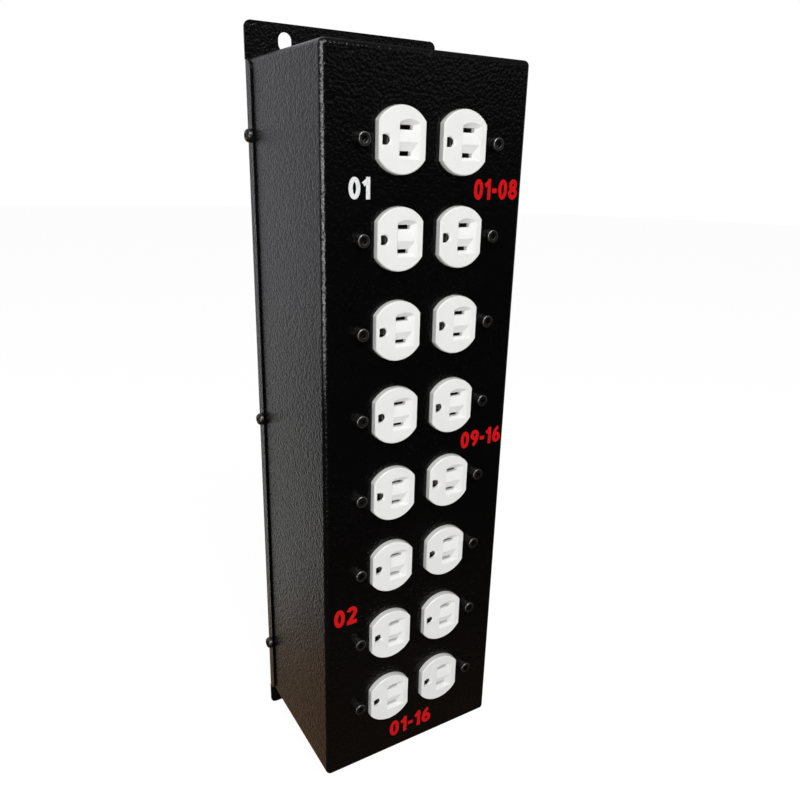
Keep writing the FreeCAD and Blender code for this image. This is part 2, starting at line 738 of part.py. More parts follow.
def make_inlet():
    """Power inlet: a shrouded moulding in the bottom end, and the three flat prongs in it."""
    body = new_body("inlet_shell", "inlet_place", "cover_low")
    flange = sketch_on(body, "XY_Plane")
    half = "(inlet_width / 2 + inlet_margin)"
    reach = "(inlet_height / 2 + inlet_margin)"
    rectangle(flange, "-" + half, "-" + reach, half, reach)
    pad(body, flange, "inlet_flange", back=True)
    shroud = sketch_on(body, "XY_Plane")
    rectangle(shroud, "-inlet_width / 2", "-inlet_height / 2", "inlet_width / 2", "inlet_height / 2")
    pad(body, shroud, "inlet_back")
    recess = sketch_on(body, "XY_Plane", "-inlet_flange")
    half = "(inlet_width / 2 - inlet_wall)"
    reach = "(inlet_height / 2 - inlet_wall)"
    rectangle(recess, "-" + half, "-" + reach, half, reach)
    pocket(body, recess, "inlet_flange + inlet_depth", forward=True)
    seats = sketch_on(body, "XY_Plane", "inlet_back")
    prongs = (
        ("inlet_line_prong", "prong_spacing / 2", "prong_rise"),
        ("inlet_neutral_prong", "-prong_spacing / 2", "prong_rise"),
        ("inlet_earth_prong", "0", "-prong_rise"),
    )
    for label, x, y in prongs:
        outline = (x + " - prong_width / 2", y + " - prong_sheet / 2",
                   x + " + prong_width / 2", y + " + prong_sheet / 2")
        rectangle(seats, *outline)
        prong = new_body(label, "inlet_place", "cover_low")
        strip = sketch_on(prong, "XY_Plane", "inlet_depth - prong_length")
        rectangle(strip, *outline)
        pad(prong, strip, "prong_length + inlet_wall + prong_tail")
    pocket(body, seats, "2 * inlet_wall")


def check(thing):
    if "Invalid" in thing.State or "Error" in thing.State:
        raise RuntimeError("%s failed: %s" % (thing.Label, thing.State))
    if thing.TypeId in CUTS and thing.Shape.Volume > thing.BaseFeature.Shape.Volume - 0.01:
        raise RuntimeError("%s cuts nothing" % thing.Label)


make_front_cover()
make_back_plate()
make_receptacle_faces()
for row in range(int(SIZES["row_count"])):
    row_level = "row_high - %d * row_pitch" % row
    receptacle = "receptacle_%d" % (row + 1)
    make_base(receptacle + "_base", row_level)
    make_yoke(receptacle + "_yoke", row_level)
    make_blade_contact(receptacle + "_neutral_contact", row_level, "-", "")
    make_blade_contact(receptacle + "_hot_contact", row_level, "", "-")
    make_pin_contact(receptacle + "_ground_contact", row_level)
make_bus("line_bus_1", "", "-", "line_1_place", "0", "circuit_rows")
make_bus("line_bus_2", "", "-", "line_2_place", "circuit_rows", "row_count - circuit_rows")
make_bus("neutral_bus", "-", "", "neutral_place", "0", "row_count")
make_feed_strap("line_feed_1", "line_1_place")
make_feed_strap("line_feed_2", "line_2_place")
make_feed_strap("neutral_feed", "-neutral_place")
make_terminal_block("line_terminal_block", ["line_2_place", "line_1_place"])
make_terminal_block("neutral_terminal_block", ["-neutral_place"])
make_panel_screws()
make_side_screws()
make_earth_tab()
make_inlet()

doc.recompute()
for item in doc.Objects:
    check(item)
for node in nodes:
    if node.Shape.isNull() or not node.Shape.isValid():
        raise RuntimeError("%s has no sound shape" % node.Label)

os.makedirs("parts", exist_ok=True)
for node in nodes:
    node.Shape.exportStep("parts/%s.step" % node.Label)
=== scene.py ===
"""Looks of a power distribution unit with eight duplex receptacles, built around its packed model."""
import math

import bmesh
import bpy
from bpy.props import FloatProperty, FloatVectorProperty, PointerProperty
from bpy.types import Operator, Panel, PropertyGroup
from mathutils import Matrix, Vector


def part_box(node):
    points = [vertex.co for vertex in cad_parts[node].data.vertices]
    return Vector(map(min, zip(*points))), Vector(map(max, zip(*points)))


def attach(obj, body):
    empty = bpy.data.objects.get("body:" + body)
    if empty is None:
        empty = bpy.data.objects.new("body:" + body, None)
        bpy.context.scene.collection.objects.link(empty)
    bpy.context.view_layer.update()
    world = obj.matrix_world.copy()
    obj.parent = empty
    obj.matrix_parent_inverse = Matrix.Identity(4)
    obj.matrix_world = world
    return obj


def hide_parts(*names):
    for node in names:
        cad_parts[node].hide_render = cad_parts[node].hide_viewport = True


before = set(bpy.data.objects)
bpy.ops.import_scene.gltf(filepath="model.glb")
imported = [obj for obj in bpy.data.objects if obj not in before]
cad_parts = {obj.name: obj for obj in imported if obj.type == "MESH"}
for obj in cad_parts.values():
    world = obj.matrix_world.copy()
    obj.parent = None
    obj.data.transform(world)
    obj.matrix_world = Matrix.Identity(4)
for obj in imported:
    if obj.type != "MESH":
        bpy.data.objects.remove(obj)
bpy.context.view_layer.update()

bl_info = {
    "name": "Power distribution unit",
    "version": (1, 0, 0),
    "blender": (4, 5, 0),
    "location": "View3D > Sidebar > Power unit",
    "description": "Finished pieces, materials and a studio for a power distribution unit",
    "category": "Object",
}

MM = 0.001
WELD = 0.002 * MM
FLAT_ANGLE = math.radians(1)
SHARP_ANGLE = math.radians(50)
EDGE_ANGLE = math.radians(28)
ROWS = 8
ROUND_SEGMENTS = 48
CORNER_STEPS = 5

# Proportions of the screws, as shares of the head's radius or height, and of their sockets.
CAP_SHANK = 0.56
CAP_FLAT = 0.62
CAP_RIM_BREAK = 0.3
DOME_SHANK = 0.5
DOME_FLAT = 0.52
DOME_SKIRT = 0.16
DOME_STEPS = 8
DOME_SHANK_LENGTH = 5 * MM
SOCKET_LEAD_IN = 0.5
SOCKET_POINT = 0.25

# How far the round side of a ground hole widens to the right, as a share of its lead-in.
FUNNEL_STRETCH = 0.7
INLET_EDGE = 0.5 * MM
INLET_SEGMENTS = 3
# Each later stroke of a figure is a little thinner, so that crossing strokes never share a face.
STROKE_STEP = 0.15

# Tones that the settings don't hold.
WHITE = (1, 1, 1, 1)
# Painted highlight tone for the upper front bends of the cover.
BEND_HIGHLIGHT_TONE = (0.38, 0.38, 0.37, 1)
OXIDE = (0.120, 0.117, 0.114)
# Painted highlight for the cap screws' rims, and painted shade for their sockets.
RIM_HIGHLIGHT_TONE = (0.40, 0.39, 0.375, 1)
SOCKET_SHADE = (0.02, 0.02, 0.02, 1)
FLOOR_TONES = ((0.60, 0.60, 0.60, 1), (0.64, 0.64, 0.64, 1))
WALL_TONES = ((0.60, 0.60, 0.585, 1), (0.61, 0.60, 0.65, 1))
TABLE_TONE = (0.30, 0.185, 0.105, 1)

# Name, colour and roughness of the plastics, and colour and roughness of the metals, by finish.
PLASTICS = {
    "base_plastic": ("base_moulding", (0.055, 0.055, 0.058), 0.50),
    "black_plastic": ("black_moulding", (0.013, 0.013, 0.014), 0.42),
}
METALS = {
    "zinc_steel": ((0.62, 0.62, 0.60), 0.36),
    "brass": ((0.80, 0.60, 0.28), 0.48),
    # Painted shade: brass darkened so that the hot and neutral slots read as deep shade.
    "aged_brass": ((0.22, 0.18, 0.12), 0.45),
    "tinned_brass": ((0.86, 0.84, 0.75), 0.42),
    "copper": ((0.82, 0.42, 0.26), 0.30),
    "nickel": ((0.70, 0.68, 0.63), 0.24),
}

# Each lamp's name, direction and distance from the box's middle, width and height, and setting.
BOX_MIDDLE = Vector((0, -50 * MM, 0))
LAMPS = (
    ("key_lamp", (-0.10, -0.70, 0.71), 1.9, (1.0, 1.0), "key_power"),
    ("edge_lamp", (-0.66, -0.75, 0.03), 1.5, (0.35, 0.60), "edge_power"),
    ("glint_lamp", (0.52, -0.74, 0.42), 1.6, (0.5, 0.5), "glint_power"),
    ("rim_lamp", (-0.74, 0.62, 0.22), 1.3, (0.9, 1.2), "rim_power"),
)
FLOOR_RADIUS = 6
FLOOR_SEGMENTS = 96
SENSOR_WIDTH = 36
NEAR_CLIP = 0.01
CAMERA_PLACE = Vector((-217.443, -432.760, 162.915)) * MM
CAMERA_RIGHT = Vector((0.85853218, -0.51221113, 0.02371171))
CAMERA_UP = Vector((0.14356353, 0.28451032, 0.94786254))

# Name, text, ink, middle across and up, width and height in millimetres of each printed number.
PRINTED_NUMBERS = (
    ("circuit_mark_1", "01", "white", -42.5, 149.5, 12.5, 11.0),
    ("outlets_mark_1", "01-08", "red", 44.5, 149.0, 30.7, 11.2),
    ("outlets_mark_2", "09-16", "red", 45.0, -1.2, 31.1, 11.2),
    ("circuit_mark_2", "02", "red", -50.4, -102.5, 15.7, 12.5),
    ("outlets_mark_3", "01-16", "red", -0.5, -204.0, 33.0, 12.5),
)

# Which finish each group of nodes inside the box takes, by a word in the node's name.
INNER_FINISHES = {
    "_base": "base_plastic",
    "_yoke": "zinc_steel",
    # The hot and neutral contacts take brass darkened as painted shade.
    "_hot_contact": "aged_brass",
    "_neutral_contact": "aged_brass",
    "_ground_contact": "tinned_brass",
    "_bus": "copper",
    "_feed": "copper",
    "terminal_block": "black_plastic",
    "earth_tab": "brass",
    "_prong": "nickel",
}


def bow(x, y, across, up, start=0, end=360, steps=24):
    """Points along an ellipse, or part of it, by angles in degrees."""
    turns = [math.radians(start + (end - start) * step / steps) for step in range(steps + 1)]
    return [(x + across * math.cos(turn), y + up * math.sin(turn)) for turn in turns]


# Width of each figure and the middle lines of its strokes, for figures of height 1.
SIX = [bow(0.31, 0.31, 0.20, 0.20), bow(0.50, 0.31, 0.39, 0.58, 180, 100)]
FIGURES = {
    "0": (0.62, [bow(0.31, 0.50, 0.20, 0.39)]),
    "1": (0.43, [[(0.31, 0.0), (0.31, 1.0)], [(0.05, 0.67), (0.27, 0.83)]]),
    "2": (0.62, [bow(0.31, 0.69, 0.20, 0.20, 165, -40) + [(0.13, 0.11)], [(0.02, 0.11), (0.60, 0.11)]]),
    "6": (0.62, SIX),
    "8": (0.62, [bow(0.31, 0.30, 0.20, 0.19), bow(0.31, 0.72, 0.17, 0.17)]),
    "9": (0.62, [[(0.62 - x, 1 - y) for x, y in path] for path in SIX]),
    "-": (0.32, [[(0.0, 0.44), (0.32, 0.44)]]),
}
FIGURE_GAP = 0.10


class CoatSettings(PropertyGroup):
    """Powder coat of the folded steel."""
    colour: FloatVectorProperty(
        name="Colour", description="Colour of the powder coat", subtype="COLOR",
        min=0, max=1, default=(0.0017, 0.0016, 0.0017))
    roughness: FloatProperty(
        name="Roughness", description="Roughness of the coat between its lumps",
        subtype="FACTOR", min=0, max=1, default=0.24)
    lump: FloatProperty(
        name="Lump", description="Width of one lump of the coat's skin",
        subtype="DISTANCE", default=1.7 * MM)
    lump_height: FloatProperty(
        name="Lump height", description="Height of the lumps", subtype="DISTANCE", default=0.50 * MM)
    edge: FloatProperty(
        name="Edge", description="Radius that the coat gives a cut edge",
        subtype="DISTANCE", default=0.35 * MM)
    bend: FloatProperty(
        name="Bend", description="Radius of the cover's front bends and of its four long corners",
        subtype="DISTANCE", default=3.0 * MM)


class FaceSettings(PropertyGroup):
    """Moulded faces of the outlets."""
    colour: FloatVectorProperty(
        name="Colour", description="Colour of the face mouldings", subtype="COLOR",
        min=0, max=1, default=(0.85, 0.85, 0.83))
    edge: FloatProperty(
        name="Edge", description="Radius of the moulded edges", subtype="DISTANCE", default=0.22 * MM)
    funnel: FloatProperty(
        name="Funnel", description="Width of the lead-in round the ground holes",
        subtype="DISTANCE", default=0.9 * MM)


class ScrewSettings(PropertyGroup):
    """Sockets and rims of the screws."""
    cap_socket: FloatProperty(
        name="Cap socket", description="Width across the flats of the cap screws' sockets",
        subtype="DISTANCE", default=3.0 * MM)
    cap_rim: FloatProperty(
        name="Cap rim", description="Chamfer round the top of a cap screw",
        subtype="DISTANCE", default=0.45 * MM)
    dome_socket: FloatProperty(
        name="Dome socket", description="Width across the flats of the dome screws' sockets",
        subtype="DISTANCE", default=2.5 * MM)
    socket_depth: FloatProperty(
        name="Socket depth", description="Depth of every socket", subtype="DISTANCE", default=2.6 * MM)


class MarkSettings(PropertyGroup):
    """Plain numbers printed on the panel."""
    white: FloatVectorProperty(
        name="White", description="Colour of the first circuit's number", subtype="COLOR",
        min=0, max=1, default=(0.80, 0.80, 0.80))
    red: FloatVectorProperty(
        name="Red", description="Colour of the other numbers", subtype="COLOR",
        min=0, max=1, default=(0.62, 0.004, 0.006))
    thickness: FloatProperty(
        name="Thickness", description="Thickness of the print", subtype="DISTANCE", default=0.06 * MM)
    weight: FloatProperty(
        name="Weight", description="Width of the figures' strokes, as a share of their height",
        subtype="FACTOR", min=0, max=1, default=0.22)


class StageSettings(PropertyGroup):
    """Studio lights and camera."""
    key_power: FloatProperty(
        name="Key", description="Power of the lamp in front, high up", unit="POWER", default=25)
    edge_power: FloatProperty(
        name="Edge", description="Power of the lamp beside the camera, that lights the near bend",
        unit="POWER", default=6)
    rim_power: FloatProperty(
        name="Rim", description="Power of the lamp behind, on the left", unit="POWER", default=2)
    glint_power: FloatProperty(
        name="Glint", description="Power of the lamp in front, on the right", unit="POWER", default=0.45)
    ambient: FloatProperty(
        name="Ambient", description="Brightness of the light from all round",
        subtype="FACTOR", min=0, max=1, default=0.16)
    lens: FloatProperty(
        name="Lens", description="Focal length on a 36 mm sensor", unit="CAMERA", default=32.06)


class Socket:
    """An output of a shader node. Arithmetic on it adds Math nodes."""

    def __init__(self, tree, output):
        self.tree = tree
        self.output = output

    def math(self, operation, *values):
        return self.tree.node("ShaderNodeMath", {"operation": operation}, dict(enumerate(values)))

    def __add__(self, other):
        return self.math("ADD", self, other)

    def __sub__(self, other):
        return self.math("SUBTRACT", self, other)

    def __rsub__(self, other):
        return self.math("SUBTRACT", other, self)

    def __mul__(self, other):
        return self.math("MULTIPLY", self, other)

    def __truediv__(self, other):
        return self.math("DIVIDE", self, other)

    def __pow__(self, other):
        return self.math("POWER", self, other)

    def __abs__(self):
        return self.math("ABSOLUTE", self)

    __radd__ = __add__
    __rmul__ = __mul__

    def larger(self, other):
        return self.math("MAXIMUM", self, other)

    def ramp(self, low, high):
        """0 below low, 1 above high, and a smooth rise between."""
        return self.tree.node(
            "ShaderNodeMapRange", {"interpolation_type": "SMOOTHSTEP"},
            {"Value": self, "From Min": low, "From Max": high})


class Tree:
    """Node tree of a material or of the world."""

    def __init__(self, owner):
        owner.use_nodes = True
        self.owner = owner
        self.nodes = owner.node_tree.nodes
        self.links = owner.node_tree.links
        self.nodes.clear()

    def node(self, kind, settings=None, inputs=None, output=0):
        """Add a node, with its settings first and then the values or links of its sockets."""
        node = self.nodes.new(kind)
        for name, setting in (settings or {}).items():
            setattr(node, name, setting)
        for name, given in (inputs or {}).items():
            if isinstance(given, Socket):
                self.links.new(given.output, node.inputs[name])
            else:
                node.inputs[name].default_value = given
        return Socket(self, node.outputs[output]) if node.outputs else node

    def place(self):
        return self.node("ShaderNodeTexCoord", output="Object")

    def axes(self, vector):
        split = self.node("ShaderNodeSeparateXYZ", inputs={"Vector": vector})
        return [Socket(self, output) for output in split.output.node.outputs]

    def noise(self, vector, size, detail=2.0, roughness=0.5):
        """Noise whose patches are about as wide as the size."""
        return self.node("ShaderNodeTexNoise", inputs={
            "Vector": vector, "Scale": 1 / size, "Detail": detail, "Roughness": roughness})

    def cells(self, vector, size):
        """Distance from the middle of rounded cells that are about as wide as the size."""
        return self.node("ShaderNodeTexVoronoi", {"feature": "SMOOTH_F1"}, {
            "Vector": vector, "Scale": 1 / size, "Smoothness": 0.6})

    def blend(self, factor, low, high):
        return self.node("ShaderNodeMix", {"data_type": "RGBA"},
                         {0: factor, 6: low, 7: high}, output=2)

    def bump(self, height, distance, strength=1.0):
        return self.node("ShaderNodeBump", inputs={
            "Height": height, "Distance": distance, "Strength": strength})

    def surface(self, **inputs):
        """End a material in a Principled shader. Socket names have _ for a space."""
        shader = self.node("ShaderNodeBsdfPrincipled", inputs={
            name.replace("_", " "): given for name, given in inputs.items()})
        self.node("ShaderNodeOutputMaterial", inputs={"Surface": shader})
        return self.owner


def material_tree(name):
    return Tree(bpy.data.materials.new(name))


def tint(colour, factor=1.0):
    """A colour as a shader takes it, lighter or darker by a factor."""
    return tuple(min(1.0, part * factor) for part in colour) + (1.0,)


def powder_coat():
    """Black powder coat with a lumpy leather skin, and a painted highlight along the upper part of the
    front bends.
    """
    if "powder_coat_skin" in bpy.data.materials:
        return bpy.data.materials["powder_coat_skin"]
    coat = bpy.context.scene.pdu_coat
    tree = material_tree("powder_coat_skin")
    place = tree.place()
    drift = tree.node("ShaderNodeTexNoise", inputs={
        "Vector": place, "Scale": 0.6 / coat.lump}, output="Color")
    bent = tree.node("ShaderNodeVectorMath", {"operation": "MULTIPLY_ADD"},
                     {0: drift, 1: (coat.lump,) * 3, 2: place})
    lumps = 1 - tree.cells(bent, coat.lump)
    swell = tree.noise(place, coat.lump * 2.4)
    grain = tree.noise(place, coat.lump * 0.3)
    speck = tree.noise(place, coat.lump * 0.5, detail=4)
    height = lumps * 0.55 + swell * 0.35 + grain * 0.10
    broad = tree.noise(place, 60 * MM, detail=4)
    low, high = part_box("front_cover")
    x, y, z = tree.axes(place)
    side = abs(x).ramp(high.x - coat.bend, high.x)
    front = (y * -1).ramp(-low.y - coat.bend, -low.y)
    # Painted highlight: the front bends are lightened in speckles, only above a height, where a lamp's
    # reflection lies.
    highlight_height = z.ramp(30 * MM, 90 * MM)
    bend_highlight = (side * front * (lumps * 0.3 + speck * 0.9)).ramp(0.22, 0.50) * highlight_height
    colour = tree.blend(broad, tint(coat.colour, 0.8), tint(coat.colour, 1.25))
    colour = tree.blend(bend_highlight * 0.70, colour, BEND_HIGHLIGHT_TONE)
    rough = coat.roughness + (broad - 0.5) * 0.10 + (0.5 - lumps) * 0.12 - bend_highlight * 0.08
    normal = tree.bump(height, coat.lump_height, 0.9)
    return tree.surface(Base_Color=colour, Roughness=rough, Normal=normal, Specular_IOR_Level=0.30)


def moulded(name, colour, roughness):
    """Moulded plastic: a faint sheen pattern, slight cloudiness and a fine skin."""
    if name in bpy.data.materials:
        return bpy.data.materials[name]
    tree = material_tree(name)
    place = tree.place()
    cloud = tree.noise(place, 14 * MM, detail=3)
    skin = tree.noise(place, 0.35 * MM)
    base = tree.blend(cloud, tint(colour, 0.965), tint(colour, 1.025))
    rough = roughness + (cloud - 0.5) * 0.10 + (skin - 0.5) * 0.06
    return tree.surface(Base_Color=base, Roughness=rough, Normal=tree.bump(skin, 0.006 * MM))


def metal(name, colour, roughness, spots=0.15, painted_light_and_shade=None):
    """Metal with fine scratches along its length, clouded by handling, and with a painted highlight and
    painted shade where they are given.
    """
    if name in bpy.data.materials:
        return bpy.data.materials[name]
    tree = material_tree(name)
    place = tree.place()
    stretch = tree.node("ShaderNodeMapping", inputs={"Vector": place, "Scale": (1, 1, 0.12)})
    scratch = tree.noise(stretch, 0.25 * MM, detail=3)
    cloud = tree.noise(place, 6 * MM, detail=4, roughness=0.6)
    base = tree.blend(cloud.ramp(0.35, 0.75) * spots * 4, tint(colour), tint(colour, 0.72))
    if painted_light_and_shade:
        # Painted highlight where the bright mask lies, and painted shade where the dark mask lies.
        bright, dark = painted_light_and_shade(tree, place)
        base = tree.blend(bright * (cloud * 0.6 + 0.5), base, RIM_HIGHLIGHT_TONE)
        base = tree.blend(dark * 0.9, base, SOCKET_SHADE)
    rough = roughness + (scratch - 0.5) * 0.14 + (cloud - 0.5) * 0.16
    return tree.surface(Base_Color=base, Metallic=1.0, Roughness=rough,
                        Normal=tree.bump(scratch, 0.004 * MM))


def black_oxide(name="black_oxide_steel", painted_light_and_shade=None):
    """Blackened steel, with oil-dark flats."""
    return metal(name, OXIDE, 0.38, spots=0.20, painted_light_and_shade=painted_light_and_shade)


def screw_rim_light_and_socket_shade(column, level, spacing, radius, front):
    """Painted light and shade of two columns of screws: each has a painted highlight round its rim and
    painted shade in its socket.
    """
    def painted_light_and_shade(tree, place):
        x, y, z = tree.axes(place)
        aside = abs(x) - column
        above = z.math("PINGPONG", z - level, spacing / 2)
        reach = (aside * aside + above * above) ** 0.5
        outer = reach.ramp(radius * 0.80, radius * 0.92)
        raised = (y * -1).ramp(front - 0.7 * MM, front - 0.3 * MM)
        inner = 1 - reach.ramp(radius * 0.44, radius * 0.52)
        return outer * raised, inner
    return painted_light_and_shade


def white_face():
    return moulded("white_moulding", bpy.context.scene.pdu_face.colour, 0.34)


def print_ink(name, colour):
    """Screen-print ink with a pitted edge-to-edge film."""
    if name in bpy.data.materials:
        return bpy.data.materials[name]
    tree = material_tree(name)
    place = tree.place()
    film = tree.noise(place, 1.1 * MM, detail=3)
    base = tree.blend(film.ramp(0.30, 0.62), tint(colour, 0.80), tint(colour))
    return tree.surface(Base_Color=base, Roughness=0.55 + (film - 0.5) * 0.2,
                        Normal=tree.bump(film, 0.03 * MM), Specular_IOR_Level=0.1)


def inner_finish(slot):
    """Finish of a piece inside the box or in its bottom end."""
    if slot in PLASTICS:
        return moulded(*PLASTICS[slot])
    return metal(slot + "_sheet", *METALS[slot])


def merged_copy(node):
    """A node's mesh with its loose triangles joined up and its flat faces made whole."""
    bm = bmesh.new()
    bm.from_mesh(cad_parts[node].data)
    bmesh.ops.remove_doubles(bm, verts=bm.verts, dist=WELD)
    bmesh.ops.dissolve_limit(bm, angle_limit=FLAT_ANGLE, verts=bm.verts, edges=bm.edges)
    return bm


def sharp_edges(bm):
    return [edge for edge in bm.edges if edge.is_manifold and edge.calc_face_angle() > EDGE_ANGLE]


def round_edges(bm, edges, radius, segments=2):
    return bmesh.ops.bevel(bm, geom=edges, offset=radius, offset_type="OFFSET", affect="EDGES",
                           segments=segments, profile=0.5, material=-1, clamp_overlap=True)["faces"]


def new_piece(name, bm, material, nodes=()):
    """Make a finished mesh an object that rides on the body, and hide the nodes it stands for."""
    for face in bm.faces:
        face.smooth = True
    for edge in bm.edges:
        edge.smooth = edge.is_manifold and edge.calc_face_angle() < SHARP_ANGLE
    mesh = bpy.data.meshes.new(name)
    bm.to_mesh(mesh)
    bm.free()
    mesh.materials.append(material)
    piece = bpy.data.objects.new(name, mesh)
    bpy.context.scene.collection.objects.link(piece)
    normals = piece.modifiers.new("flat_faces_stay_flat", "WEIGHTED_NORMAL")
    normals.keep_sharp = True
    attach(piece, "root")
    if nodes:
        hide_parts(*nodes)
    return piece


def row_levels():
    """Height of the middle of each receptacle, from the top row down."""
    levels = []
    for row in range(1, ROWS + 1):
        low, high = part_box("receptacle_%d_yoke" % row)
        levels.append((low.z + high.z) / 2)
    return levels


def repeated(template, places):
    """One mesh with a copy of the template at each place."""
    bm = bmesh.new()
    for place in places:
        first = len(bm.verts)
        bm.from_mesh(template)
        bm.verts.ensure_lookup_table()
        bmesh.ops.transform(bm, matrix=place, verts=bm.verts[first:])
    return bm


def add_stroke(bm, path, width, height):
    """A bar of ink along a path, which is closed if it ends where it starts."""
    closed = (path[0] - path[-1]).length < 1e-6
    spots = path[:-1] if closed else path
    rows = []
    for index, spot in enumerate(spots):
        before = spots[index - 1] if closed or index else spot
        after = spots[(index + 1) % len(spots)] if closed or index + 1 < len(spots) else spot
        along = (after - before).normalized()
        aside = Vector((-along.y, along.x)) * width / 2
        rows.append([bm.verts.new((spot + aside).to_3d()), bm.verts.new((spot - aside).to_3d())])
    following = rows[1:] + rows[:1] if closed else rows[1:]
    faces = [bm.faces.new((*row, *reversed(after))) for row, after in zip(rows, following)]
    made = bmesh.ops.extrude_face_region(bm, geom=faces)["geom"]
    raised = [item for item in made if isinstance(item, bmesh.types.BMVert)]
    bmesh.ops.translate(bm, verts=raised, vec=(0, 0, height))


def socket_screw(profile, rim, across, depth):
    """A screw turned from its profile, whose last point is the rim, with a hexagon socket in its top."""
    bm = bmesh.new()
    spots = [bm.verts.new((radius, 0, height)) for radius, height in profile]
    edges = [bm.edges.new(pair) for pair in zip(spots, spots[1:])]
    bmesh.ops.spin(bm, geom=spots + edges, cent=(0, 0, 0), axis=(0, 0, 1), angle=math.tau,
                   steps=ROUND_SEGMENTS, use_merge=True)
    bmesh.ops.remove_doubles(bm, verts=bm.verts, dist=WELD)
    top = profile[-1][1]

    def open_rim():
        return [edge for edge in bm.edges if edge.is_boundary and edge.verts[0].co.z > 0]

    def extrude_rim():
        made = bmesh.ops.extrude_edge_only(bm, edges=open_rim())["geom"]
        return [item for item in made if isinstance(item, bmesh.types.BMVert)]

    for vert in extrude_rim():
        turn = math.atan2(vert.co.y, vert.co.x) % (math.pi / 3) - math.pi / 6
        flat = across / 2 / math.cos(turn)
        vert.co.xy *= flat / vert.co.xy.length
        vert.co.z = top - (rim - flat) * SOCKET_LEAD_IN
    for vert in extrude_rim():
        vert.co.z = top - depth
    for vert in extrude_rim():
        vert.co = (0, 0, top - depth - across * SOCKET_POINT)
    bmesh.ops.remove_doubles(bm, verts=bm.verts, dist=WELD)
    bmesh.ops.recalc_face_normals(bm, faces=bm.faces)
    mesh = bpy.data.meshes.new("screw_template")
    bm.to_mesh(mesh)
    bm.free()
    return mesh


class PDU_OT_cover(Operator):
    """Folded front cover in powder coat."""
    bl_idname = "pdu.cover"
    bl_label = "Front cover"

    def execute(self, context):
        coat = context.scene.pdu_coat
        self.low, self.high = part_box("front_cover")
        bm = merged_copy("front_cover")
        edges = [edge for edge in sharp_edges(bm) if not self.on_corner(edge, coat.bend)]
        round_edges(bm, edges, coat.edge)
        self.round_corners(bm, coat.bend)
        new_piece("cover_pan", bm, powder_coat(), ["front_cover"])
        return {"FINISHED"}

    def reach(self, vert, radius):
        """How far a point lies past the start of the corners' rounding, across and along the box."""
        middle = (self.low + self.high) / 2
        half = (self.high - self.low) / 2
        away = vert.co - middle
        return abs(away.x) - half.x + radius, abs(away.z) - half.z + radius

    def on_corner(self, edge, radius):
        """Whether an edge lies on the middle line of a long corner, which is rounded as a whole."""
        reaches = [self.reach(vert, radius) for vert in edge.verts]
        return all(across > 0 and abs(across - along) < WELD for across, along in reaches)

    def round_corners(self, bm, radius):
        """Round the four long corners of the pan, from its front bends to its open back."""
        outer = [vert for vert in bm.verts if max(self.reach(vert, radius)) > WELD]
        faces = dict.fromkeys(face for vert in outer for face in vert.link_faces)
        edges = dict.fromkeys(edge for face in faces for edge in face.edges)
        near = list(faces) + list(edges)
        for normal in (Vector((1, 0, 0)), Vector((0, 0, 1))):
            for step in range(CORNER_STEPS):
                inset = normal * radius * (1 - math.tan(math.pi / 4 * step / CORNER_STEPS))
                for place in (self.low + inset, self.high - inset):
                    near = bmesh.ops.bisect_plane(
                        bm, geom=near, dist=WELD, plane_co=place, plane_no=normal)["geom"]
        middle = (self.low + self.high) / 2
        for vert in bm.verts:
            across, along = self.reach(vert, radius)
            if min(across, along) > 0:
                drawn_in = 1 - max(across, along) / math.hypot(across, along)
                vert.co.x -= math.copysign(across * drawn_in, vert.co.x - middle.x)
                vert.co.z -= math.copysign(along * drawn_in, vert.co.z - middle.z)


class PDU_OT_plate(Operator):
    """Back plate with slotted tabs and side flanges, in powder coat."""
    bl_idname = "pdu.plate"
    bl_label = "Back plate"

    def execute(self, context):
        bm = merged_copy("back_plate")
        round_edges(bm, sharp_edges(bm), context.scene.pdu_coat.edge)
        new_piece("mounting_plate", bm, powder_coat(), ["back_plate"])
        return {"FINISHED"}


class PDU_OT_faces(Operator):
    """Eight white face mouldings, each with two outlets."""
    bl_idname = "pdu.faces"
    bl_label = "Outlet faces"

    def execute(self, context):
        levels = row_levels()
        reach = (levels[0] - levels[1]) / 2
        for row, level in enumerate(levels, start=1):
            bm = merged_copy("receptacle_faces")
            others = [vert for vert in bm.verts if abs(vert.co.z - level) > reach]
            bmesh.ops.delete(bm, geom=others, context="VERTS")
            funnels = self.open_funnels(bm, context.scene.pdu_face.funnel)
            kept = {edge for face in funnels for edge in face.edges}
            edges = [edge for edge in sharp_edges(bm) if edge not in kept]
            round_edges(bm, edges, context.scene.pdu_face.edge)
            new_piece("outlet_face_%d" % row, bm, white_face(), ["receptacle_faces"])
        return {"FINISHED"}

    def open_funnels(self, bm, width):
        """Slope the round side of each ground hole, where the pin is led in, and widen it."""
        low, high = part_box("receptacle_1_ground_contact")
        half = (high.z - low.z) / 2
        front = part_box("receptacle_faces")[0].y
        middle = sum(vert.co.z for vert in bm.verts) / len(bm.verts)

        def on_rim(vert):
            return abs(vert.co.y - front) < WELD and abs(vert.co.z - middle) < half + width

        rim = [edge for edge in sharp_edges(bm) if all(on_rim(vert) for vert in edge.verts)]
        lead = [edge for edge in rim if abs(edge.verts[0].co.z - edge.verts[1].co.z) < half]
        faces = round_edges(bm, lead, width, segments=1)
        outer = {vert for face in faces for vert in face.verts if abs(vert.co.y - front) < WELD}
        for side in (-1, 1):
            verts = [vert for vert in outer if vert.co.x * side > 0]
            left = min(vert.co.x for vert in verts)
            span = max(vert.co.x for vert in verts) - left
            for vert in verts:
                vert.co.x += width * FUNNEL_STRETCH * (vert.co.x - left) / span
        return faces


